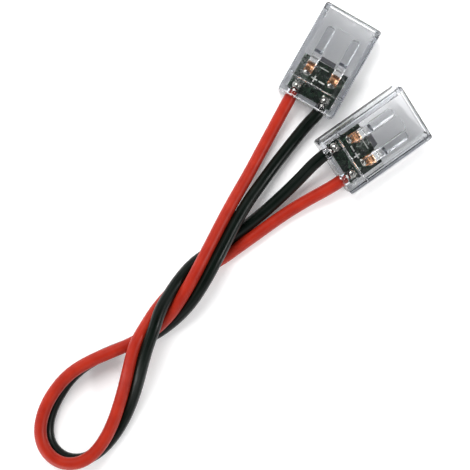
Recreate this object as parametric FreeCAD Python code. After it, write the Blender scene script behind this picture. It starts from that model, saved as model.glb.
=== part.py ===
"""Solderless connector lead for a two-core light strip: two clear hinged housings joined by a red and black lead.

Millimetres. Origin at the centre of housing A's underside, +Z up, +Y out of its strip mouth.
Each housing's pieces are drawn in one housing frame and then placed. A name that ends in _at is a distance from the
rear face, where the wires go in.
"""

import FreeCAD
import Part
import math
import os

from FreeCAD import Placement, Rotation, Vector

# Light strip that the housing takes
strip_width = 8.0
strip_clearance = 0.3

# Clear housing
side_wall = 0.9
rear_wall = 0.9
floor_thickness = 0.8
roof_thickness = 0.8
housing_length = 16.5
bridge_length = 3.0
bridge_recess = 0.12
bridge_recess_margin = 0.4
corner_radius = 0.45
edge_chamfer = 0.2
mouth_chamfer = 0.3
ramp_length = 1.1
ramp_to_board = 0.05
ramp_to_contact = 0.15

# Lid and its hinge
lid_side_gap = 0.1
hinge_gap = 0.08
pin_radius = 0.25
pin_running_gap = 0.05
pin_hole_depth = 0.6
pin_end_gap = 0.1
ear_length = 1.2
ear_gap = 0.1
nail_chamfer = 0.35

# Lid's press ribs, the pocket between them, and its snap nubs
rib_width = 1.45
rib_draft = 0.15
rib_clearance = 0.1
rib_low_drop = 1.4
rib_step_past_tip = 0.3
rib_end_past_tip = 5.2
rib_corner_radius = 0.6
pocket_to_rib = 0.15
pocket_past_ribs = 0.3
pocket_from_rib_start = 0.7
pocket_depth = 0.3
pocket_corner_radius = 0.35
nub_reach = 0.08
nub_length = 1.2
nub_height = 0.4
nub_from_mouth = 2.0
groove_clearance = 0.06

# Circuit board, and the ledges that hold it down
board_thickness = 0.8
board_side_gap = 0.2
board_rear_gap = 0.1
board_front_at = 7.6
ledge_reach = 0.45
ledge_height = 0.4
ledge_gap = 0.05
ledge_from_wall = 0.3
ledge_length = 1.6

# Spring contacts: a foot on the board, an arch, and an arm down to the strip that ends in a curled tip
contact_width = 1.5
contact_thickness = 0.15
contact_to_board_side = 1.05
foot_from_board_front = 2.7
foot_length = 0.7
arch_run = 0.75
arch_rise = 0.6
arm_run = 1.2
touch_above_board = 0.15
tip_run = 0.5
tip_rise = 0.3
contact_bend_radius = 0.3

# Lead of two cores side by side; ten sides with a round core's area keep its facets few
wire_diameter = 2.0
wire_sides = 10
bond_gap = 0.28
wire_headroom = 0.2
wire_hole_gap = 0.05
insulation_past_wall = 0.05
straight_exit = 1.3
run_share_of_arc = 0.45

# Stripped ends and the solder over them
conductor_radius = 0.38
conductor_lift = 0.02
conductor_past_solder = 0.7
solder_radius = 1.0
solder_rise = 1.1
solder_crown_radius = 0.5
solder_bore_gap = 0.03
solder_to_board_back = 0.05
solder_to_board_side = 0.45

# Housing B leans on its lower right edge, as the lead holds it
b_centre = (12.22, -7.59)
b_heading = -25.2
b_lean = 15.0

# Route of the bonded pair from A to B: centre, and the turn of the black core about the red one in degrees
pair_route = [
    (-1.35, -31.2, 3.35, 180),
    (-1.2, -34.8, 3.95, 180),
    (-1.05, -38.6, 4.4, 180),
    (-0.95, -42.4, 4.35, 182),
    (-1.0, -46.4, 3.65, 190),
    (-1.7, -50.2, 2.65, 215),
    (-3.2, -53.8, 2.15, 238),
    (-5.6, -56.8, 2.2, 256),
    (-7.9, -59.6, 2.25, 262),
    (-10.0, -62.6, 2.2, 260),
    (-11.6, -66.0, 2.15, 251),
    (-12.2, -69.8, 2.1, 243),
    (-12.0, -73.4, 2.1, 240),
    (-10.9, -76.5, 2.1, 240),
    (-8.8, -78.5, 2.15, 243),
    (-6.0, -79.1, 2.2, 251),
    (-3.4, -78.0, 2.25, 265),
    (-1.7, -75.6, 2.25, 280),
    (-1.0, -72.4, 2.15, 296),
    (-1.0, -69.0, 2.2, 314),
    (-1.5, -65.6, 2.5, 332),
    (-2.2, -62.4, 3.5, 346),
    (-3.1, -59.2, 5.0, 357),
    (-3.9, -56.0, 5.65, 364),
    (-4.35, -52.7, 5.45, 382),
    (-4.65, -49.5, 4.45, 411),
    (-4.5, -46.3, 3.25, 442),
    (-3.7, -43.1, 2.3, 474),
    (-2.15, -40.2, 1.7, 507),
    (-0.25, -37.0, 1.25, 534),
    (1.4, -33.4, 1.05, 540),
]
# Where the cores run apart: from housing A to the pair, and from the pair to housing B
red_from_a = [(-2.55, -13.6, 1.4), (-2.45, -18.2, 1.15), (-2.35, -22.8, 1.6), (-2.4, -27.2, 2.6)]
black_from_a = [(1.6, -12.9, 1.4), (1.0, -17.5, 1.2), (0.45, -22.2, 1.6), (-0.25, -26.9, 2.65)]
red_to_b = [(4.1, -30.0, 1.05), (6.0, -25.9, 1.1), (8.2, -21.9, 1.4)]
black_to_b = [(2.4, -28.7, 1.1), (3.9, -24.4, 1.3), (5.2, -20.0, 2.2)]

# How far a cutting tool passes a face that it opens, and how deep a joined piece starts inside its carrier
overcut = 1.0
root_depth = 0.1

# Sizes that follow
wire_radius = wire_diameter / 2
slot_height = wire_diameter + 2 * wire_headroom
channel_half = strip_width / 2 + strip_clearance
housing_half = channel_half + side_wall
housing_height = floor_thickness + slot_height + roof_thickness
rear = -housing_length / 2
mouth = housing_length / 2
roof_underside = housing_height - roof_thickness
lid_half = channel_half - lid_side_gap
hinge_radius = roof_thickness / 2
hinge_y = rear + bridge_length + hinge_gap + hinge_radius
hinge_z = roof_underside + hinge_radius
board_half = channel_half - board_side_gap
board_top = floor_thickness + board_thickness
board_back = rear + rear_wall + board_rear_gap
board_front = rear + board_front_at
contact_offset = board_half - contact_to_board_side - contact_width / 2
foot_y = board_front - foot_from_board_front
arch_y = foot_y + foot_length + arch_run
arch_z = board_top + arch_rise
touch_y = arch_y + arm_run
touch_z = board_top + touch_above_board
tip_y = touch_y + tip_run
tip_z = touch_z + tip_rise
rib_outer = contact_offset + contact_width / 2
rib_inner = rib_outer - rib_width
insulation_end = rear + rear_wall + insulation_past_wall
core_side = board_half - solder_to_board_side - solder_radius
core_height = board_top + conductor_radius + conductor_lift
solder_y = board_back + solder_to_board_back + solder_radius
conductor_end = solder_y + conductor_past_solder
ear_back = mouth - ear_length


def box(low, high):
    """A block between two opposite corners."""
    size = [high[i] - low[i] for i in range(3)]
    return Part.makeBox(*size, Vector(*low))


def rod(start, direction, radius, length):
    return Part.makeCylinder(radius, length, Vector(*start), Vector(*direction))


def drawn_out(corners, along):
    """The flat outline with these corners, drawn out along a vector."""
    return Part.Face(Part.makePolygon(corners + corners[:1])).extrude(along)


def side_profile(outline, start_x, width):
    """A shape with the given outline of (y, z) corners, drawn out along X."""
    return drawn_out([Vector(start_x, y, z) for y, z in outline], Vector(width, 0, 0))


def edges_where(shape, test):
    """The edges whose two ends pass a test."""
    found = []
    for edge in shape.Edges:
        ends = [vertex.Point for vertex in edge.Vertexes]
        if len(ends) == 2 and test(*ends):
            found.append(edge)
    return found


def same(a, b):
    return abs(a - b) < 1e-6


def upright(a, b):
    return same(a.x, b.x) and same(a.y, b.y)


def one_solid(shape):
    return shape.removeSplitter().Solids[0]


def housing():
    """One clear moulding: floor with a ramp up to the board, side walls, rear wall, and the bridge over the joints."""
    body = box((-housing_half, rear, 0), (housing_half, mouth, housing_height))
    body = body.makeFillet(corner_radius, edges_where(body, upright))
    rim = edges_where(body, lambda a, b: same(a.z, b.z) and (same(a.z, 0) or same(a.z, housing_height)))
    body = body.makeChamfer(edge_chamfer, rim)
    channel_back = rear + rear_wall
    bridge_front = rear + bridge_length
    past_mouth = mouth + overcut
    past_top = housing_height + overcut
    lead_in = [(mouth - mouth_chamfer, floor_thickness), (past_mouth, floor_thickness - mouth_chamfer - overcut),
               (past_mouth, floor_thickness)]
    cuts = [
        box((-channel_half, channel_back, floor_thickness), (channel_half, past_mouth, roof_underside)),
        box((-channel_half, bridge_front, floor_thickness), (channel_half, past_mouth, past_top)),
        box((-channel_half, rear + bridge_recess_margin, housing_height - bridge_recess),
            (channel_half, bridge_front + overcut, past_top)),
        side_profile(lead_in, -channel_half, 2 * channel_half),
    ]
    for side in (-1, 1):
        wire_hole = rod((side * core_side, rear - overcut, core_height), (0, 1, 0),
                        wire_radius + wire_hole_gap, rear_wall + 2 * overcut)
        pin_hole = rod((side * (channel_half - overcut), hinge_y, hinge_z), (side, 0, 0),
                       pin_radius + pin_running_gap, overcut + pin_hole_depth)
        near, far = sorted((side * (channel_half - overcut), side * (housing_half + overcut)))
        ear_notch = box((near, ear_back - ear_gap, roof_underside - ear_gap), (far, past_mouth, past_top))
        cuts += [wire_hole, pin_hole, ear_notch, snap_wedge(side, channel_half, groove_clearance)]
    body = body.cut(cuts)
    ledge_low = board_top + ledge_gap
    ledge_start = channel_back + ledge_from_wall
    for side in (-1, 1):
        near, far = sorted((side * (channel_half - ledge_reach), side * (channel_half + root_depth)))
        body = body.fuse(box((near, ledge_start, ledge_low),
                             (far, ledge_start + ledge_length, ledge_low + ledge_height)))
    ramp_back = board_front + ramp_to_board
    ramp_front = board_front + ramp_length
    ramp_half = contact_offset - contact_width / 2 - ramp_to_contact
    ramp = [(ramp_back, floor_thickness - root_depth), (ramp_front, floor_thickness - root_depth),
            (ramp_front, floor_thickness), (ramp_back, board_top)]
    return one_solid(body.fuse(side_profile(ramp, -ramp_half, 2 * ramp_half)))


def snap_wedge(side, face_x, clearance):
    """A three-sided snap nub on the lid's side, or with a clearance its groove in the housing's wall."""
    reach = nub_reach + clearance
    half_height = nub_height / 2 + clearance
    half_length = nub_length / 2 + clearance
    y = mouth - nub_from_mouth - half_length
    z = housing_height - roof_thickness / 2
    root = face_x - nub_reach
    outline = [(root, z - half_height), (face_x, z - half_height), (face_x + reach, z),
               (face_x, z + half_height), (root, z + half_height)]
    return drawn_out([Vector(side * x, y, height) for x, height in outline], Vector(0, 2 * half_length, 0))


def press_rib(side):
    """A drafted rib under the lid: high over the contact, low over the strip, with round ends seen from above."""
    top = roof_underside + root_depth
    high = arch_z + contact_thickness + rib_clearance
    low = roof_underside - rib_low_drop
    step = tip_y + rib_step_past_tip
    end = tip_y + rib_end_past_tip
    profile = [(foot_y, top), (foot_y, high), (step, high), (step + high - low, low), (end, low), (end, top)]
    rib = side_profile(profile, min(side * rib_inner, side * rib_outer), rib_width)
    rib = rib.makeFillet(rib_corner_radius, edges_where(rib, upright))
    middle = side * (rib_inner + rib_outer) / 2
    half_root = rib_width / 2
    half_low = half_root - rib_draft
    section = [(middle - half_root, top), (middle - half_low, low), (middle + half_low, low),
               (middle + half_root, top)]
    drafted = drawn_out([Vector(x, foot_y, z) for x, z in section], Vector(0, end - foot_y, 0))
    return rib.common(drafted)


def lid():
    """Clear lid between the side walls: round rear edge, hinge pins, press ribs, snap nubs, and ears at the mouth."""
    outline = [(-lid_half, hinge_y), (lid_half, hinge_y), (lid_half, ear_back), (housing_half, ear_back),
               (housing_half, mouth), (-housing_half, mouth), (-housing_half, ear_back), (-lid_half, ear_back)]
    plate = drawn_out([Vector(x, y, roof_underside) for x, y in outline], Vector(0, 0, roof_thickness))
    plate = plate.makeFillet(corner_radius, edges_where(plate, lambda a, b: upright(a, b) and same(a.y, mouth)))
    nail_edge = edges_where(plate, lambda a, b: same(a.z, roof_underside) and same(b.z, roof_underside)
                            and same(a.y, mouth) and same(b.y, mouth))
    plate = plate.makeChamfer(nail_chamfer, nail_edge)
    rim = edges_where(plate, lambda a, b: same(a.z, housing_height) and same(b.z, housing_height)
                      and min(a.y, b.y) > ear_back - root_depth and min(abs(a.x), abs(b.x)) > lid_half + root_depth)
    plate = plate.makeChamfer(edge_chamfer, rim)
    pocket_half = rib_inner - pocket_to_rib
    pocket = box((-pocket_half, foot_y + pocket_from_rib_start, roof_underside - overcut),
                 (pocket_half, tip_y + rib_end_past_tip + pocket_past_ribs, roof_underside + pocket_depth))
    plate = plate.cut(pocket.makeFillet(pocket_corner_radius, edges_where(pocket, upright)))
    pin_length = lid_side_gap + pin_hole_depth - pin_end_gap
    pieces = [rod((-lid_half, hinge_y, hinge_z), (1, 0, 0), hinge_radius, 2 * lid_half)]
    for side in (-1, 1):
        pin_root = (side * (lid_half - root_depth), hinge_y, hinge_z)
        pieces.append(rod(pin_root, (side, 0, 0), pin_radius, pin_length + root_depth))
        pieces.append(press_rib(side))
        pieces.append(snap_wedge(side, lid_half, 0))
    return one_solid(plate.fuse(pieces))


def circuit_board():
    """Board with scored, square corners on the housing floor."""
    return box((-board_half, board_back, floor_thickness), (board_half, board_front, board_top))


def contact(side):
    """Bent strip: foot soldered on the board, arch, arm down to where the strip's pad comes, tip curled up."""
    path = [(foot_y, board_top), (foot_y + foot_length, board_top), (arch_y, arch_z), (touch_y, touch_z),
            (tip_y, tip_z)]
    upper = [(y, z + contact_thickness) for y, z in path]
    strip = side_profile(path + upper[::-1], side * contact_offset - contact_width / 2, contact_width)
    for y, z in path[1:-1] + upper[1:-1]:
        bend = edges_where(strip, lambda a, b: same(a.y, y) and same(b.y, y) and same(a.z, z) and same(b.z, z))
        strip = strip.makeFillet(contact_bend_radius, bend)
    return one_solid(strip)


def conductor(side):
    """Stripped and tinned strands, which lie just above their pad."""
    start = (side * core_side, insulation_end, core_height)
    return rod(start, (0, 1, 0), conductor_radius, conductor_end - insulation_end)


def solder_joint(side):
    """Mound of solder over the strands and their pad, turned from a sloping side and a flat crown."""
    outline = [(0, 0), (solder_radius, 0), (solder_crown_radius, solder_rise), (0, solder_rise)]
    corners = [Vector(radius, 0, height) for radius, height in outline]
    profile = Part.Face(Part.makePolygon(corners + corners[:1]))
    mound = profile.revolve(Vector(0, 0, 0), Vector(0, 0, 1), 360)
    mound.translate(Vector(side * core_side, solder_y, board_top))
    bore = rod((side * core_side, insulation_end, core_height), (0, 1, 0), conductor_radius + solder_bore_gap,
               conductor_end + solder_bore_gap - insulation_end)
    return one_solid(mound.cut(bore))


def frame_b():
    """Housing B turned in plan and leaning, with its lower right edge on the floor."""
    lift = (housing_half - edge_chamfer) * math.sin(math.radians(b_lean))
    turn = Rotation(Vector(0, 0, 1), b_heading).multiply(Rotation(Vector(0, 1, 0), b_lean))
    return Placement(Vector(b_centre[0], b_centre[1], lift), turn)


def core_points(sign):
    """Centres of one core along the bonded pair: the sign is 1 for the black core and -1 for the red one."""
    half_spacing = (wire_diameter + bond_gap) / 2
    last = len(pair_route) - 1
    points = []
    for index, (x, y, z, turn) in enumerate(pair_route):
        before = pair_route[max(index - 1, 0)]
        after = pair_route[min(index + 1, last)]
        ahead = Vector(after[0] - before[0], after[1] - before[1], 0).normalize()
        right = Vector(ahead.y, -ahead.x, 0)
        angle = math.radians(turn)
        across = right * math.cos(angle) + Vector(0, 0, 1) * math.sin(angle)
        points.append(Vector(x, y, z) + across * (sign * half_spacing))
    return points


def wire_route(side_a, from_a, sign, to_b, side_b, placement_b):
    """Points of a core from inside housing A to inside housing B."""
    ends = [insulation_end, rear - straight_exit]
    start = [Vector(side_a * core_side, y, core_height) for y in ends]
    end = [placement_b.multVec(Vector(side_b * core_side, y, core_height)) for y in reversed(ends)]
    return start + [Vector(*p) for p in from_a] + core_points(sign) + [Vector(*p) for p in to_b] + end


def wire(name, points):
    """Cord along straight runs joined by tangent arcs; prints its arcs' radii, its length and its volume share."""
    edges = []
    radii = []
    at = points[0]
    for before, corner, after in zip(points, points[1:], points[2:]):
        back = before - corner
        on = after - corner
        tangent = run_share_of_arc * min(back.Length, on.Length)
        back.normalize()
        on.normalize()
        radius = tangent / math.tan((math.pi - back.getAngle(on)) / 2)
        middle = corner + (back + on).normalize() * (math.hypot(tangent, radius) - radius)
        first = corner + back * tangent
        last = corner + on * tangent
        edges += [Part.LineSegment(at, first).toShape(), Part.Arc(first, middle, last).toShape()]
        radii.append(round(radius, 1))
        at = last
    edges.append(Part.LineSegment(at, points[-1]).toShape())
    path = Part.Wire(edges)
    direction = (points[1] - points[0]).normalize()
    aside = direction.cross(Vector(0, 0, 1)).normalize()
    above = aside.cross(direction)
    step = 2 * math.pi / wire_sides
    corner_reach = wire_radius * math.sqrt(step / math.sin(step))
    angles = [index * step for index in range(wire_sides)]
    section = [points[0] + (aside * math.cos(a) + above * math.sin(a)) * corner_reach for a in angles]
    tube = path.makePipeShell([Part.makePolygon(section + section[:1])], True, False)
    expected = math.pi * wire_radius ** 2 * path.Length
    print(name, "length", round(path.Length, 1), "volume share", round(tube.Volume / expected, 4))
    print(name, "arc radii", radii)
    return tube


def save(name, shape, placement=Placement()):
    solid = shape.copy()
    solid.Placement = placement.multiply(solid.Placement)
    solid = solid.Solids[0]
    print(name, "valid", solid.isValid(), "volume", round(solid.Volume, 3))
    solid.exportStep(os.path.join("parts", name + ".step"))


os.makedirs("parts", exist_ok=True)
placements = {"a": Placement(), "b": frame_b()}
# The red core is on the left of housing A and on the right of housing B, seen from the wire end
red_side = {"a": -1, "b": 1}
for tag, placement in placements.items():
    save("housing_" + tag, housing(), placement)
    save("lid_" + tag, lid(), placement)
    save("circuit_board_" + tag, circuit_board(), placement)
    for pole, side in (("positive", red_side[tag]), ("negative", -red_side[tag])):
        save(pole + "_contact_" + tag, contact(side), placement)
        save(pole + "_conductor_" + tag, conductor(side), placement)
        save(pole + "_solder_" + tag, solder_joint(side), placement)
red_route = wire_route(red_side["a"], red_from_a, -1, red_to_b, red_side["b"], placements["b"])
black_route = wire_route(-red_side["a"], black_from_a, 1, black_to_b, -red_side["b"], placements["b"])
save("red_wire", wire("red_wire", red_route))
save("black_wire", wire("black_wire", black_route))
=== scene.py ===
"""Light strip connector lead on a white table: clear hinged housings joined by a red and black lead."""

import math

import bmesh
import bpy
from mathutils import Matrix, Vector, noise


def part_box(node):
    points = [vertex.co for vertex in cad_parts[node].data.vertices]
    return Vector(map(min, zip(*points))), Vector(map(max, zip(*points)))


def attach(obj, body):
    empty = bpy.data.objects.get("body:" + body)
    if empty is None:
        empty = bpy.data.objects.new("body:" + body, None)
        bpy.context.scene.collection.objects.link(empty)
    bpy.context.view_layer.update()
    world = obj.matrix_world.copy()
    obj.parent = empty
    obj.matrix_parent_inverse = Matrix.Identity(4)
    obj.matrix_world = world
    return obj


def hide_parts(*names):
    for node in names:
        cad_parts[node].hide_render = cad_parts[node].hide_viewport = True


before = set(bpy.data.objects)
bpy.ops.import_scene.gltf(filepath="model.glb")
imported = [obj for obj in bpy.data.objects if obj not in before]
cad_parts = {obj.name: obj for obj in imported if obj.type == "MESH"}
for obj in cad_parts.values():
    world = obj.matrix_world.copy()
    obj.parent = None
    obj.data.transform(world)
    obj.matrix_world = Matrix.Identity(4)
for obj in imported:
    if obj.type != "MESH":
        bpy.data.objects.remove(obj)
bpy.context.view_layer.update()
mm = 0.001


# Camera
# Looks down on the lead from about 0.2 m, turned so that housing A's mouth points to the upper right.
# Its lens is the one that gives the photograph's frame at that distance.
image_pixels = 470
focal_pixels = 1240
sensor_width = 36
camera_data = bpy.data.cameras.new("camera")
camera_data.sensor_width = sensor_width
camera_data.lens = focal_pixels / image_pixels * sensor_width
camera_data.clip_start = 0.01
camera = bpy.data.objects.new("camera", camera_data)
bpy.context.scene.collection.objects.link(camera)
camera_place = Vector((-5.2, -38.86, 207.03)) * mm
camera_roll = math.radians(29.5)
ahead = Vector((0.0284, 0.0295, -1.0)).normalized()
right = ahead.cross(Vector((-math.sin(camera_roll), math.cos(camera_roll), 0.0))).normalized()
above = right.cross(ahead)
camera_turn = Matrix((right, above, -ahead)).transposed()
camera.matrix_world = Matrix.Translation(camera_place) @ camera_turn.to_4x4()
bpy.context.scene.camera = camera


# Table and light
# A smooth white table, faintly lit from below as for product pictures. A broad soft lamp hangs at the left,
# a small one gives glints, and a far strip lamp on the wire side draws bright lines along polished edges.
# The room is bright halfway up and at the horizon, and dim between and overhead, so clear walls show grey.
def new_material(name):
    """An empty node material; gives the material, its nodes and its links."""
    material = bpy.data.materials.new(name)
    material.use_nodes = True
    material.node_tree.nodes.clear()
    return material, material.node_tree.nodes, material.node_tree.links


def coordinates(nodes, kind="Object"):
    """The texture coordinates that a pattern follows: a piece's own places, unless a kind is named."""
    return nodes.new("ShaderNodeTexCoord").outputs[kind]


def noise_of(nodes, links, vector, per_metre, detail=3.0):
    """A cloudy pattern from 0 to 1, mostly near its middle."""
    texture = nodes.new("ShaderNodeTexNoise")
    texture.inputs["Scale"].default_value = per_metre
    texture.inputs["Detail"].default_value = detail
    links.new(vector, texture.inputs["Vector"])
    return texture.outputs["Fac"]


def graded(nodes, links, factor, *stops):
    """Colours along a pattern, from (position, colour) stops."""
    ramp = nodes.new("ShaderNodeValToRGB")
    elements = ramp.color_ramp.elements
    while len(elements) < len(stops):
        elements.new(0.5)
    for element, (position, colour) in zip(elements, stops):
        element.position = position
        element.color = (*colour, 1)
    links.new(factor, ramp.inputs["Fac"])
    return ramp.outputs["Color"]


def surface(nodes, links):
    """The shader joined to its output."""
    shader = nodes.new("ShaderNodeBsdfPrincipled")
    output = nodes.new("ShaderNodeOutputMaterial")
    links.new(shader.outputs["BSDF"], output.inputs["Surface"])
    return shader, output


def new_object(name, shape):
    """A mesh or curve as an object of the scene, at the origin."""
    piece = bpy.data.objects.new(name, shape)
    bpy.context.scene.collection.objects.link(piece)
    return piece


bpy.context.scene.view_settings.view_transform = "Standard"

table_half = 8
table_glow = 0.14
table_white, nodes, links = new_material("white table")
shader, _ = surface(nodes, links)
shader.inputs["Specular IOR Level"].default_value = 0.2
shader.inputs["Roughness"].default_value = 0.6
shader.inputs["Emission Color"].default_value = (1, 1, 1, 1)
shader.inputs["Emission Strength"].default_value = table_glow
table_tone = noise_of(nodes, links, coordinates(nodes), per_metre=4, detail=2)
links.new(graded(nodes, links, table_tone, (0.3, (0.93, 0.93, 0.93)), (0.7, (0.95, 0.95, 0.95))),
          shader.inputs["Base Color"])
table_mesh = bpy.data.meshes.new("table")
table_corners = [(x * table_half, y * table_half, 0) for x, y in ((-1, -1), (1, -1), (1, 1), (-1, 1))]
table_mesh.from_pydata(table_corners, [], [(0, 1, 2, 3)])
table_mesh.materials.append(table_white)
new_object("table", table_mesh)

room_bands = [(0.12, (0.66, 0.66, 0.66)), (0.18, (0.1, 0.1, 0.11)), (0.30, (0.16, 0.16, 0.18)),
              (0.45, (0.85, 0.85, 0.85)), (0.72, (0.95, 0.95, 0.95)), (0.80, (0.07, 0.07, 0.075))]
room = bpy.data.worlds.new("banded room")
room.use_nodes = True
nodes, links = room.node_tree.nodes, room.node_tree.links
height_split = nodes.new("ShaderNodeSeparateXYZ")
links.new(coordinates(nodes, "Generated"), height_split.inputs["Vector"])
links.new(graded(nodes, links, height_split.outputs["Z"], *room_bands), nodes["Background"].inputs["Color"])
nodes["Background"].inputs["Strength"].default_value = 1.15
bpy.context.scene.world = room


def soft_lamp(name, place, aim, width, height, energy, mirrored=True):
    """A round or oblong lamp; it isn't seen in mirror reflections where mirrored is false."""
    lamp_data = bpy.data.lights.new(name, "AREA")
    lamp_data.shape = "ELLIPSE" if width == height else "RECTANGLE"
    lamp_data.size = width
    lamp_data.size_y = height
    lamp_data.energy = energy
    lamp = bpy.data.objects.new(name, lamp_data)
    lamp.location = place
    lamp.rotation_euler = (Vector(aim) - lamp.location).to_track_quat("-Z", "Y").to_euler()
    lamp.visible_glossy = mirrored
    bpy.context.scene.collection.objects.link(lamp)


soft_lamp("broad lamp", place=(-0.25, 0.16, 0.38), aim=(0, -0.03, 0), width=0.36, height=0.36, energy=2.8,
          mirrored=False)
soft_lamp("edge lamp", place=(0.26, 0.05, 0.26), aim=(0, 0, 0), width=0.06, height=0.06, energy=0.35)
soft_lamp("strip lamp", place=(-0.24, -1.44, 0.34), aim=(0, 0, 0), width=2.0, height=0.4, energy=20)


# Clear housings and lids
# Injection moulded polycarbonate, polished, faintly blue grey where it is thick. Each lid is a second
# moulding, sprung into its pin holes. Copies of the solids get the small rounding of moulded edges.
def spread(nodes, links, factor, low, high):
    """The pattern's middle range drawn out between two values."""
    node = nodes.new("ShaderNodeMapRange")
    node.inputs["From Min"].default_value = 0.3
    node.inputs["From Max"].default_value = 0.7
    node.inputs["To Min"].default_value = low
    node.inputs["To Max"].default_value = high
    links.new(factor, node.inputs["Value"])
    return node.outputs["Result"]


def relief(nodes, links, shader, height, depth):
    """Raises the surface by a pattern, to a depth in metres."""
    bump = nodes.new("ShaderNodeBump")
    bump.inputs["Distance"].default_value = depth
    links.new(height, bump.inputs["Height"])
    links.new(bump.outputs["Normal"], shader.inputs["Normal"])


moulded_edge = 0.05
smooth_under = math.radians(35)
level_under = math.radians(1)
weld_within = 0.002
clear_plastic, nodes, links = new_material("clear polycarbonate")
shader, output = surface(nodes, links)
shader.inputs["Base Color"].default_value = (1, 1, 1, 1)
shader.inputs["IOR"].default_value = 1.49
shader.inputs["Transmission Weight"].default_value = 1
handling = noise_of(nodes, links, coordinates(nodes), per_metre=500, detail=4)
links.new(spread(nodes, links, handling, 0.01, 0.06), shader.inputs["Roughness"])
flow = noise_of(nodes, links, coordinates(nodes), per_metre=260, detail=2)
relief(nodes, links, shader, flow, depth=0.00001)
tint = nodes.new("ShaderNodeVolumeAbsorption")
tint.inputs["Color"].default_value = (0.853, 0.862, 0.876, 1)
tint.inputs["Density"].default_value = 800
links.new(tint.outputs["Volume"], output.inputs["Volume"])


def finished(piece):
    """Applies the piece's modifiers, so that it holds a plain mesh."""
    view = bpy.context.evaluated_depsgraph_get()
    mesh = bpy.data.meshes.new_from_object(piece.evaluated_get(view))
    piece.modifiers.clear()
    piece.data = mesh


def polished(node, body):
    """A merged copy of a solid with rounded edges, which stands for it."""
    sheet = bmesh.new()
    sheet.from_mesh(bpy.data.objects[node].data)
    bmesh.ops.remove_doubles(sheet, verts=sheet.verts, dist=weld_within * mm)
    bmesh.ops.dissolve_limit(sheet, angle_limit=level_under, verts=sheet.verts, edges=sheet.edges)
    mesh = bpy.data.meshes.new(node + "_moulding")
    sheet.to_mesh(mesh)
    sheet.free()
    mesh.materials.clear()
    mesh.materials.append(clear_plastic)
    mesh.shade_smooth()
    mesh.set_sharp_from_angle(angle=smooth_under)
    piece = new_object(node + "_moulding", mesh)
    rounding = piece.modifiers.new("moulded edges", "BEVEL")
    rounding.width = moulded_edge * mm
    rounding.segments = 2
    rounding.limit_method = "ANGLE"
    rounding.angle_limit = smooth_under
    level_faces = piece.modifiers.new("level faces", "WEIGHTED_NORMAL")
    level_faces.weight = 100
    level_faces.keep_sharp = True
    finished(piece)
    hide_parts(node)
    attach(piece, body)


for tag in ("a", "b"):
    polished("housing_" + tag, "connector_lead")
    polished("lid_" + tag, "lid_" + tag)


# Lead
# Two vinyl covered cores, extruded side by side as a ribbon that is split near both ends and laid in a
# loop. They follow the route that the part's source also holds, with some points moved.
wire_diameter = 2.08
core_spacing = 2.04
core_side = 2.65
core_height = 2.0
insulation_end = -7.3
straight_exit = {"red": -9.55, "black": -8.7, "b": -9.55}
b_centre = (12.22, -7.59)
b_heading = math.radians(-25.2)
b_lean = math.radians(15)
b_resting_edge = 5.0
b_lift = b_resting_edge * math.sin(b_lean)
to_b = (Matrix.Translation((b_centre[0], b_centre[1], b_lift)) @ Matrix.Rotation(b_heading, 4, "Z")
        @ Matrix.Rotation(b_lean, 4, "Y"))
pair_route = [
    (-1.35, -31.2, 3.35, 180),
    (-1.2, -34.8, 3.95, 180),
    (-1.05, -38.6, 4.4, 180),
    (-0.95, -42.4, 4.35, 195),
    (-1.1, -46.4, 3.65, 210),
    (-1.8, -50.2, 2.5, 236),
    (-3.25, -53.8, 2.05, 252),
    (-5.47, -56.9, 2.2, 266),
    (-7.77, -59.7, 2.25, 270),
    (-9.95, -62.65, 2.2, 266),
    (-11.6, -66.0, 2.15, 254),
    (-12.2, -69.8, 2.1, 243),
    (-12.0, -73.4, 2.1, 240),
    (-10.9, -76.5, 2.1, 240),
    (-8.8, -78.5, 2.15, 243),
    (-6.0, -79.1, 2.2, 251),
    (-3.4, -78.0, 2.25, 265),
    (-1.7, -75.6, 2.25, 280),
    (-1.0, -72.4, 2.15, 296),
    (-1.0, -69.0, 2.2, 314),
    (-1.5, -65.6, 2.5, 332),
    (-2.2, -62.4, 3.5, 346),
    (-3.1, -59.2, 5.0, 357),
    (-3.9, -56.0, 5.65, 364),
    (-4.1, -52.7, 5.4, 406),
    (-4.35, -49.5, 4.55, 434),
    (-3.98, -46.3, 3.25, 452),
    (-3.3, -43.1, 2.3, 474),
    (-2.15, -40.2, 1.7, 507),
    (-0.25, -37.0, 1.25, 534),
    (1.4, -33.4, 1.05, 540),
]
red_from_a = [(-2.55, -13.6, 1.4), (-2.45, -18.2, 1.15), (-2.35, -22.8, 1.6), (-2.4, -27.2, 2.6)]
black_from_a = [(2.1, -10.4, 1.7), (1.6, -13.2, 1.35), (1.1, -16.4, 1.2), (0.6, -19.8, 1.35),
                (0.2, -23.2, 1.75), (-0.25, -26.9, 2.65)]
red_to_b = [(4.1, -30.0, 1.05), (6.0, -25.9, 1.1), (8.2, -21.9, 1.4)]
black_to_b = [(2.4, -28.7, 1.1), (3.9, -24.4, 1.3), (5.2, -20.0, 2.2)]


def core_points(sign):
    """Centres of one core along the ribbon: the sign is 1 for the black core and -1 for the red one."""
    points = []
    last = len(pair_route) - 1
    for index, (x, y, z, turn) in enumerate(pair_route):
        before = pair_route[max(index - 1, 0)]
        after = pair_route[min(index + 1, last)]
        forward = Vector((after[0] - before[0], after[1] - before[1], 0)).normalized()
        aside = Vector((forward.y, -forward.x, 0))
        angle = math.radians(turn)
        across = aside * math.cos(angle) + Vector((0, 0, 1)) * math.sin(angle)
        points.append(Vector((x, y, z)) + across * (sign * core_spacing / 2))
    return points


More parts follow.
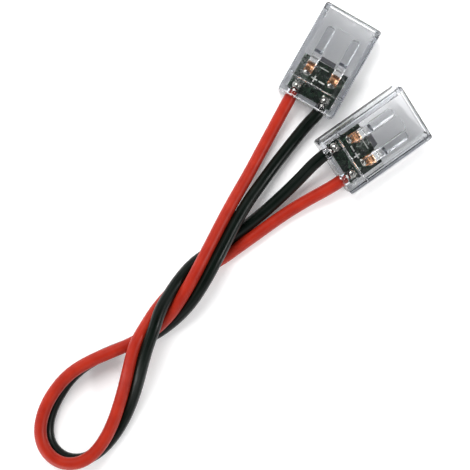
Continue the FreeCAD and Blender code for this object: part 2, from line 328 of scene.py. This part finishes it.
def core_curve(colour, sign, from_a, into_b, material):
    """A core as one smooth spline on its route's points, from inside housing A to inside housing B."""
    start = [Vector((sign * core_side, y, core_height)) for y in (insulation_end, straight_exit[colour])]
    end = [to_b @ Vector((-sign * core_side, y, core_height)) for y in (straight_exit["b"], insulation_end)]
    route = start + [Vector(p) for p in from_a] + core_points(sign) + [Vector(p) for p in into_b] + end
    name = colour + "_core"
    curve = bpy.data.curves.new(name, "CURVE")
    curve.dimensions = "3D"
    spline = curve.splines.new("NURBS")
    spline.points.add(len(route) - 1)
    for point, place in zip(spline.points, route):
        point.co = (*(place * mm), 1)
    spline.order_u = 3
    spline.use_endpoint_u = True
    spline.resolution_u = 12
    curve.bevel_depth = wire_diameter / 2 * mm
    curve.bevel_resolution = 10
    curve.use_fill_caps = True
    curve.materials.append(material)
    return new_object(name, curve)


def mapped(nodes, links, vector, scale):
    """Coordinates drawn out by a factor for each axis."""
    mapping = nodes.new("ShaderNodeMapping")
    mapping.inputs["Scale"].default_value = scale
    links.new(vector, mapping.inputs["Vector"])
    return mapping.outputs["Vector"]


def vinyl(name, dark, light, roughness, gloss):
    """Soft vinyl: satin, with faint drawn lines along the core and a slightly uneven skin."""
    material, nodes, links = new_material(name)
    shader, _ = surface(nodes, links)
    skin_scale = (150, 6.3, 1)
    drawn_scale = (12, 9, 1)
    play = 0.07
    skin = noise_of(nodes, links, mapped(nodes, links, coordinates(nodes, "UV"), skin_scale), 6, 3)
    drawn = noise_of(nodes, links, mapped(nodes, links, coordinates(nodes, "UV"), drawn_scale), 3, 4)
    cloudy = noise_of(nodes, links, coordinates(nodes), per_metre=420, detail=4)
    links.new(graded(nodes, links, cloudy, (0.3, dark), (0.7, light)), shader.inputs["Base Color"])
    links.new(spread(nodes, links, drawn, roughness - play, roughness + play), shader.inputs["Roughness"])
    shader.inputs["IOR"].default_value = 1.53
    shader.inputs["Specular IOR Level"].default_value = gloss
    relief(nodes, links, shader, skin, depth=0.000008)
    return material


red_vinyl = vinyl("red vinyl", (0.26, 0.012, 0.005), (0.33, 0.02, 0.008), roughness=0.42, gloss=0.22)
black_vinyl = vinyl("black vinyl", (0.0008, 0.0024, 0.0014), (0.002, 0.005, 0.0032), roughness=0.32,
                    gloss=0.2)
for colour, sign, from_a, into_b, material in (("red", -1, red_from_a, red_to_b, red_vinyl),
                                               ("black", 1, black_from_a, black_to_b, black_vinyl)):
    piece = core_curve(colour, sign, from_a, into_b, material)
    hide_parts(colour + "_wire")
    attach(piece, "connector_lead")


# Circuit boards
# Thin glass epoxy under a dark green solder mask, snapped from a scored panel and held down by ledges. Each
# has a tinned pad for either core and either contact, and its polarity printed in white.
def box_of(node):
    """The low and high corners of a CAD node's box, in millimetres."""
    return [Vector(corner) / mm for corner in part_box(node)]


placement = {"a": Matrix.Identity(4), "b": to_b}
board_low, board_high = box_of("circuit_board_a")
board_lift = 0.02
board_edge = 0.05
pad_height = 0.03
pad_edge = 0.01
ink_height = 0.015
solder_pad = (2.65, -6.15, 1.4, 1.6)
contact_pad = (2.3, -3.15, 1.4, 0.8)
track_centre = 2.45
track_width = 0.8
track_shade = 0.3
pole_mark = (0.7, -3.7, 1.1, 0.24)
printed_line = (0, -1.5, 1.7, 0.16)
block_faces = ((0, 1, 3, 2), (4, 6, 7, 5), (0, 4, 5, 1), (2, 3, 7, 6), (0, 2, 6, 4), (1, 5, 7, 3))


def block(sheet, low, high):
    """A block between two corners."""
    made = [sheet.verts.new((x, y, z))
            for x in (low[0], high[0]) for y in (low[1], high[1]) for z in (low[2], high[2])]
    for ring in block_faces:
        sheet.faces.new([made[index] for index in ring])


def set_down(name, sheet, tag, finishes, rounding=0.0):
    """Makes a sheet drawn in a housing's own millimetres a piece in its place, riding on the lead."""
    mesh = bpy.data.meshes.new(name)
    bmesh.ops.recalc_face_normals(sheet, faces=sheet.faces)
    sheet.to_mesh(mesh)
    sheet.free()
    for finish in finishes:
        mesh.materials.append(finish)
    mesh.transform(Matrix.Scale(mm, 4) @ placement[tag])
    piece = new_object(name, mesh)
    if rounding:
        bevel = piece.modifiers.new("rounding", "BEVEL")
        bevel.width = rounding * mm
        bevel.segments = 2
        bevel.limit_method = "ANGLE"
        finished(piece)
    piece.data.set_sharp_from_angle(angle=smooth_under)
    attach(piece, "connector_lead")
    return piece


def housing_coordinates(nodes, links, tag):
    """Coordinates in the housing's own frame, in millimetres, wherever the housing lies."""
    home = nodes.new("ShaderNodeMapping")
    home.vector_type = "TEXTURE"
    home.inputs["Location"].default_value = placement[tag].to_translation() * mm
    home.inputs["Rotation"].default_value = placement[tag].to_euler()
    home.inputs["Scale"].default_value = (mm, mm, mm)
    links.new(coordinates(nodes), home.inputs["Vector"])
    return home.outputs["Vector"]


def solder_mask(tag):
    """Dark glossy mask with a fine orange peel, a shade lighter over the copper tracks under it."""
    material, nodes, links = new_material("solder mask " + tag)
    shader, _ = surface(nodes, links)
    place = housing_coordinates(nodes, links, tag)
    split = nodes.new("ShaderNodeSeparateXYZ")
    links.new(place, split.inputs["Vector"])
    aside = nodes.new("ShaderNodeMath")
    aside.operation = "ABSOLUTE"
    links.new(split.outputs["X"], aside.inputs[0])
    lane = nodes.new("ShaderNodeMath")
    lane.operation = "COMPARE"
    lane.inputs[1].default_value = track_centre
    lane.inputs[2].default_value = track_width / 2
    links.new(aside.outputs[0], lane.inputs[0])
    cloud = noise_of(nodes, links, place, 1.5, 4)
    tone = nodes.new("ShaderNodeMath")
    tone.operation = "MULTIPLY_ADD"
    tone.inputs[1].default_value = track_shade
    links.new(lane.outputs[0], tone.inputs[0])
    links.new(cloud, tone.inputs[2])
    greens = [(0.25, (0.002, 0.011, 0.004)), (0.65, (0.004, 0.021, 0.008)), (1.0, (0.009, 0.038, 0.016))]
    links.new(graded(nodes, links, tone.outputs[0], *greens), shader.inputs["Base Color"])
    links.new(spread(nodes, links, cloud, 0.22, 0.38), shader.inputs["Roughness"])
    relief(nodes, links, shader, noise_of(nodes, links, place, 9, 2), depth=0.00001)
    return material


def rough_finish(name, dark, light, per_metre, roughness, metallic, depth):
    """A finish that is mottled between two colours, with its own roughness and small relief."""
    material, nodes, links = new_material(name)
    shader, _ = surface(nodes, links)
    play = 0.06
    cloud = noise_of(nodes, links, coordinates(nodes), per_metre, 5)
    links.new(graded(nodes, links, cloud, (0.3, dark), (0.7, light)), shader.inputs["Base Color"])
    links.new(spread(nodes, links, cloud, roughness - play, roughness + play), shader.inputs["Roughness"])
    shader.inputs["Metallic"].default_value = metallic
    relief(nodes, links, shader, noise_of(nodes, links, coordinates(nodes), 3 * per_metre, 3), depth)
    return material


laminate_edge = rough_finish("glass epoxy edge", (0.10, 0.11, 0.05), (0.22, 0.22, 0.11), per_metre=2500,
                             roughness=0.7, metallic=0, depth=0.00003)
tinned_copper = rough_finish("tinned pads", (0.34, 0.33, 0.30), (0.5, 0.49, 0.46), per_metre=1800,
                             roughness=0.3, metallic=1, depth=0.00001)
white_ink = rough_finish("white board ink", (0.62, 0.63, 0.60), (0.8, 0.8, 0.78), per_metre=3000,
                         roughness=0.6, metallic=0, depth=0.00001)
for tag in ("a", "b"):
    sheet = bmesh.new()
    block(sheet, (board_low.x, board_low.y, board_low.z + board_lift), board_high)
    sheet.normal_update()
    for face in sheet.faces:
        face.material_index = 0 if abs(face.normal.z) > 0.5 else 1
    board = set_down("board_" + tag, sheet, tag, (solder_mask(tag), laminate_edge), board_edge)
    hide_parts("circuit_board_" + tag)
    sheet = bmesh.new()
    for side in (-1, 1):
        for x, y, width, length in (solder_pad, contact_pad):
            centre = Vector((side * x, y, board_high.z))
            half = Vector((width / 2, length / 2, 0))
            block(sheet, centre - half, centre + half + Vector((0, 0, pad_height)))
    pads = set_down("pads_" + tag, sheet, tag, (tinned_copper,), pad_edge)
    sheet = bmesh.new()
    plus_side = -1 if tag == "a" else 1
    x, y, long, thin = pole_mark
    arm = (long - thin) / 2
    bars = [(plus_side * x, y, long, thin), (-plus_side * x, y, long, thin), printed_line]
    bars += [(plus_side * x, y + way * (thin + arm) / 2, thin, arm) for way in (-1, 1)]
    for x, y, width, length in bars:
        block(sheet, (x - width / 2, y - length / 2, board_high.z),
              (x + width / 2, y + length / 2, board_high.z + ink_height))
    ink = set_down("polarity_print_" + tag, sheet, tag, (white_ink,))


# Spring contacts
# Strips of copper alloy, stamped and bent, with a bright tinned arm and a rounded tip that presses on the
# light strip's pad. Each is soldered by its foot to the board.
contact_low, contact_high = box_of("negative_contact_a")
contact_centre = (contact_low.x + contact_high.x) / 2
contact_half = (contact_high.x - contact_low.x) / 2
strip_thickness = 0.15
foot_length = 0.7
arch_run = 0.75
tip_run = 0.5
touch_rise = 0.15
tip_rise = 0.45
foot_end = contact_low.y + foot_length
arch = (foot_end + arch_run, contact_high.z - strip_thickness)
touch = (contact_high.y - tip_run, contact_low.z + touch_rise)
tip = (contact_high.y, contact_low.z + tip_rise)
bend_share = 0.42
bend_steps = 6
tip_round = 0.45
tip_steps = 6
strip_columns = 8
weld_across = 0.0001
stamped_edge = 0.03
stamped_under = math.radians(50)
tin_past_arch = 0.35
tin_fades_over = 0.35
tin_wander = 0.5
rolled_scale = (6, 0.6, 1)


def bent_path(corners):
    """The corners of a bent strip with a soft bend at each."""
    points = [Vector(corners[0])]
    for before, corner, after in zip(corners, corners[1:], corners[2:]):
        before, corner, after = Vector(before), Vector(corner), Vector(after)
        reach = bend_share * min((before - corner).length, (after - corner).length)
        first = corner + (before - corner).normalized() * reach
        last = corner + (after - corner).normalized() * reach
        for step in range(bend_steps + 1):
            t = step / bend_steps
            points.append(first * (1 - t) ** 2 + corner * (2 * t * (1 - t)) + last * t ** 2)
    return points + [Vector(corners[-1])]


def poles(tag):
    """Each pole's name and the side it lies on: housing B's sides are the other way round."""
    minus_side = 1 if tag == "a" else -1
    return ("positive", -minus_side), ("negative", minus_side)


def spring_finish(tag):
    """Rolled copper at the foot and arch that passes into bright tin along the arm."""
    material, nodes, links = new_material("spring copper " + tag)
    shader, _ = surface(nodes, links)
    place = housing_coordinates(nodes, links, tag)
    split = nodes.new("ShaderNodeSeparateXYZ")
    links.new(place, split.inputs["Vector"])
    rolled = noise_of(nodes, links, mapped(nodes, links, place, rolled_scale), 1.6, 4)
    edge = nodes.new("ShaderNodeMath")
    edge.operation = "MULTIPLY_ADD"
    edge.inputs[1].default_value = tin_wander
    links.new(rolled, edge.inputs[0])
    links.new(split.outputs["Y"], edge.inputs[2])
    plated = nodes.new("ShaderNodeMapRange")
    plated.inputs["From Min"].default_value = arch[0] + tin_past_arch
    plated.inputs["From Max"].default_value = arch[0] + tin_past_arch + tin_fades_over
    links.new(edge.outputs[0], plated.inputs["Value"])
    copper_to_tin = [(0.0, (0.86, 0.44, 0.23)), (0.35, (0.80, 0.55, 0.38)), (1.0, (0.86, 0.85, 0.83))]
    links.new(graded(nodes, links, plated.outputs["Result"], *copper_to_tin), shader.inputs["Base Color"])
    shader.inputs["Metallic"].default_value = 1
    links.new(spread(nodes, links, rolled, 0.14, 0.3), shader.inputs["Roughness"])
    relief(nodes, links, shader, rolled, depth=0.00001)
    return material


for tag in ("a", "b"):
    copper = spring_finish(tag)
    for pole, side in poles(tag):
        path = bent_path([(contact_low.y, contact_low.z), (foot_end, contact_low.z), arch, touch, tip])
        rows = path[:-1]
        last, end = path[-2], path[-1]
        start = end + (last - end).normalized() * min(tip_round, (last - end).length)
        rows += [start.lerp(end, 1 - (1 - step / tip_steps) ** 2) for step in range(tip_steps + 1)]
        sheet = bmesh.new()
        made = []
        for point in rows:
            inside = max(tip_round - (point - end).length, 0)
            half = contact_half - tip_round + math.sqrt(max(tip_round ** 2 - inside ** 2, 0))
            across = [side * contact_centre + half * (2 * column / strip_columns - 1)
                      for column in range(strip_columns + 1)]
            made.append([sheet.verts.new((x, *point)) for x in across])
        for row, following in zip(made, made[1:]):
            for column in range(strip_columns):
                sheet.faces.new((row[column], row[column + 1], following[column + 1], following[column]))
        bmesh.ops.remove_doubles(sheet, verts=sheet.verts, dist=weld_across)
        mesh = bpy.data.meshes.new(pole + "_spring_" + tag)
        sheet.to_mesh(mesh)
        sheet.free()
        mesh.materials.append(copper)
        mesh.transform(Matrix.Scale(mm, 4) @ placement[tag])
        piece = new_object(pole + "_spring_" + tag, mesh)
        thicken = piece.modifiers.new("thickness", "SOLIDIFY")
        thicken.thickness = strip_thickness * mm
        thicken.offset = 1
        round_off = piece.modifiers.new("stamped edges", "BEVEL")
        round_off.width = stamped_edge * mm
        round_off.segments = 2
        round_off.limit_method = "ANGLE"
        round_off.angle_limit = stamped_under
        finished(piece)
        piece.data.set_sharp_from_angle(angle=smooth_under)
        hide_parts(pole + "_contact_" + tag)
        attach(piece, "connector_lead")


# Painted shadow pads
# A small dark grey sheet lies on the ramp in front of each board. Its grey is painted shadow: it stands
# for the board's shadow seen through the clear housing.
shadow_sheet_grey = rough_finish("painted shadow sheet", (0.085, 0.085, 0.095), (0.13, 0.13, 0.145), per_metre=2600,
                         roughness=0.5, metallic=0, depth=0.00002)
shadow_sheet_half = 1.35
shadow_sheet_thickness = 0.06
shadow_sheet_edge = 0.015
shadow_sheet_start_gap = 0.08
shadow_sheet_end_gap = 1.04
shadow_sheet_top_drop = 0.02
shadow_sheet_foot_rise = 0.04
shadow_sheet_top = (board_high.y + shadow_sheet_start_gap, board_high.z - shadow_sheet_top_drop)
shadow_sheet_foot = (board_high.y + shadow_sheet_end_gap, board_low.z + shadow_sheet_foot_rise)
for tag in ("a", "b"):
    sheet = bmesh.new()
    corners = [sheet.verts.new((x, y, z + rise)) for x in (-shadow_sheet_half, shadow_sheet_half)
               for y, z in (shadow_sheet_top, shadow_sheet_foot) for rise in (0, shadow_sheet_thickness)]
    for ring in block_faces:
        sheet.faces.new([corners[index] for index in ring])
    # This grey sheet is painted shadow of the board, not a part of the lead.
    shadow_piece = set_down("painted_shadow_pad_" + tag, sheet, tag, (shadow_sheet_grey,), shadow_sheet_edge)


# Stripped strands
# Seven tinned copper strands, twisted, which lie from the end of the insulation through the solder.
# A node tree winds six of them round the middle one.
strand_low, strand_high = box_of("negative_conductor_a")
bundle_radius = (strand_high.x - strand_low.x) / 2
strands = bpy.data.node_groups.new("twisted strands", "GeometryNodeTree")
for name, kind, value in (("Length", "NodeSocketFloat", 1.8), ("Bundle radius", "NodeSocketFloat", 0.38),
                          ("Turns", "NodeSocketFloat", 0.35), ("Outer strands", "NodeSocketInt", 6),
                          ("Finish", "NodeSocketMaterial", None)):
    socket = strands.interface.new_socket(name, in_out="INPUT", socket_type=kind)
    if value is not None:
        socket.default_value = value
strands.interface.new_socket("Geometry", in_out="OUTPUT", socket_type="NodeSocketGeometry")
nodes, links = strands.nodes, strands.links
given = nodes.new("NodeGroupInput").outputs


def arithmetic(operation, first, second):
    """A sum of two sockets or numbers; gives its result."""
    node = nodes.new("ShaderNodeMath")
    node.operation = operation
    for socket, value in zip(node.inputs, (first, second)):
        if isinstance(value, (int, float)):
            socket.default_value = value
        else:
            links.new(value, socket)
    return node.outputs[0]


strand_radius = arithmetic("DIVIDE", given["Bundle radius"], 3)
winding_radius = arithmetic("MULTIPLY", strand_radius, 2)
round_section = nodes.new("GeometryNodeCurvePrimitiveCircle")
round_section.inputs["Resolution"].default_value = 12
links.new(strand_radius, round_section.inputs["Radius"])
spiral = nodes.new("GeometryNodeCurveSpiral")
spiral.inputs["Resolution"].default_value = 48
links.new(given["Turns"], spiral.inputs["Rotations"])
links.new(winding_radius, spiral.inputs["Start Radius"])
links.new(winding_radius, spiral.inputs["End Radius"])
links.new(given["Length"], spiral.inputs["Height"])
outer = nodes.new("GeometryNodeCurveToMesh")
outer.inputs["Fill Caps"].default_value = True
links.new(spiral.outputs["Curve"], outer.inputs["Curve"])
links.new(round_section.outputs["Curve"], outer.inputs["Profile Curve"])
around = nodes.new("GeometryNodePoints")
links.new(given["Outer strands"], around.inputs["Count"])
turn = nodes.new("ShaderNodeCombineXYZ")
links.new(arithmetic("MULTIPLY", nodes.new("GeometryNodeInputIndex").outputs[0],
                     arithmetic("DIVIDE", 2 * math.pi, given["Outer strands"])), turn.inputs["Z"])
wound = nodes.new("GeometryNodeInstanceOnPoints")
links.new(around.outputs[0], wound.inputs["Points"])
links.new(outer.outputs["Mesh"], wound.inputs["Instance"])
links.new(turn.outputs["Vector"], wound.inputs["Rotation"])
middle_end = nodes.new("ShaderNodeCombineXYZ")
links.new(given["Length"], middle_end.inputs["Z"])
middle_line = nodes.new("GeometryNodeCurvePrimitiveLine")
links.new(middle_end.outputs["Vector"], middle_line.inputs["End"])
middle = nodes.new("GeometryNodeCurveToMesh")
middle.inputs["Fill Caps"].default_value = True
links.new(middle_line.outputs["Curve"], middle.inputs["Curve"])
links.new(round_section.outputs["Curve"], middle.inputs["Profile Curve"])
together = nodes.new("GeometryNodeJoinGeometry")
links.new(wound.outputs["Instances"], together.inputs["Geometry"])
links.new(middle.outputs["Mesh"], together.inputs["Geometry"])
plain = nodes.new("GeometryNodeRealizeInstances")
links.new(together.outputs["Geometry"], plain.inputs["Geometry"])
smooth = nodes.new("GeometryNodeSetShadeSmooth")
links.new(plain.outputs["Geometry"], smooth.inputs["Geometry"])
coat = nodes.new("GeometryNodeSetMaterial")
links.new(smooth.outputs["Geometry"], coat.inputs["Geometry"])
links.new(given["Finish"], coat.inputs["Material"])
links.new(coat.outputs["Geometry"], nodes.new("NodeGroupOutput").inputs["Geometry"])

tinned_strand = rough_finish("tinned strands", (0.55, 0.53, 0.50), (0.80, 0.78, 0.75), per_metre=2200,
                             roughness=0.25, metallic=1, depth=0.00001)
for tag in ("a", "b"):
    for pole, side in poles(tag):
        piece = new_object(pole + "_strands_" + tag, bpy.data.meshes.new("strands"))
        winder = piece.modifiers.new("strands", "NODES")
        winder.node_group = strands
        sizes = {"Length": (strand_high.y - strand_low.y) * mm, "Bundle radius": bundle_radius * mm,
                 "Finish": tinned_strand}
        for item in strands.interface.items_tree:
            if item.name in sizes:
                winder[item.identifier] = sizes[item.name]
        finished(piece)
        along_y = Matrix.Rotation(math.radians(-90), 4, "X")
        strand_start = Vector((side * (strand_low.x + bundle_radius), strand_low.y, core_height)) * mm
        home = placement[tag].copy()
        home.translation *= mm
        piece.data.transform(home @ Matrix.Translation(strand_start) @ along_y)
        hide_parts(pole + "_conductor_" + tag)
        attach(piece, "connector_lead")


# Solder joints
# Hand soldered mounds that wet the pads and close over the strands, each a little different.
# A flatter one lies where each contact's foot is soldered down.
solder_low, solder_high = box_of("negative_solder_a")
mound_profile = [(1.0, 0.0), (0.98, 0.05), (0.94, 0.22), (0.88, 0.45), (0.76, 0.68), (0.54, 0.88),
                 (0.25, 0.98)]
mound_spokes = 20
unevenness = 0.09
lump_scale = 1.3
foot_mound = (2.3, -3.45, 0.78, 0.48, 0.24)
bright_solder = rough_finish("bright solder", (0.30, 0.30, 0.28), (0.46, 0.45, 0.42), per_metre=900,
                             roughness=0.24, metallic=1, depth=0.00002)


def mound(sheet, centre, radii, height, seed):
    """A closed dome of solder on the board, drawn by its profile and made uneven."""
    rings = []
    for share, rise in mound_profile:
        ring = []
        for spoke in range(mound_spokes):
            angle = 2 * math.pi * spoke / mound_spokes
            way = Vector((math.cos(angle), math.sin(angle), 0))
            swell = 1 - unevenness * (0.5 + noise.noise(way * lump_scale + Vector((seed, rise, 0))))
            ring.append(sheet.verts.new(centre + Vector((way.x * radii[0] * share * swell,
                                                         way.y * radii[1] * share * swell, rise * height))))
        rings.append(ring)
    crown = sheet.verts.new(centre + Vector((0, 0, height)))
    for ring, above in zip(rings, rings[1:]):
        for spoke in range(mound_spokes):
            after = (spoke + 1) % mound_spokes
            sheet.faces.new((ring[spoke], ring[after], above[after], above[spoke]))
    for spoke in range(mound_spokes):
        sheet.faces.new((rings[-1][spoke], rings[-1][(spoke + 1) % mound_spokes], crown))
    sheet.faces.new(rings[0][::-1])


for number, tag in enumerate(("a", "b")):
    for pole, side in poles(tag):
        sheet = bmesh.new()
        radius = (solder_high.x - solder_low.x) / 2
        centre = Vector((side * (solder_low.x + radius), solder_low.y + radius, solder_low.z))
        mound(sheet, centre, (radius, radius), solder_high.z - solder_low.z, seed=7 * number + 3 * side)
        x, y, half_width, half_length, height = foot_mound
        centre = Vector((side * x, y, solder_low.z))
        mound(sheet, centre, (half_width, half_length), height, seed=5 * number + 2 * side)
        piece = set_down(pole + "_joint_" + tag, sheet, tag, (bright_solder,))
        piece.data.shade_smooth()
        round_up = piece.modifiers.new("smooth", "SUBSURF")
        round_up.levels = 1
        round_up.render_levels = 1
        finished(piece)
        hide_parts(pole + "_solder_" + tag)
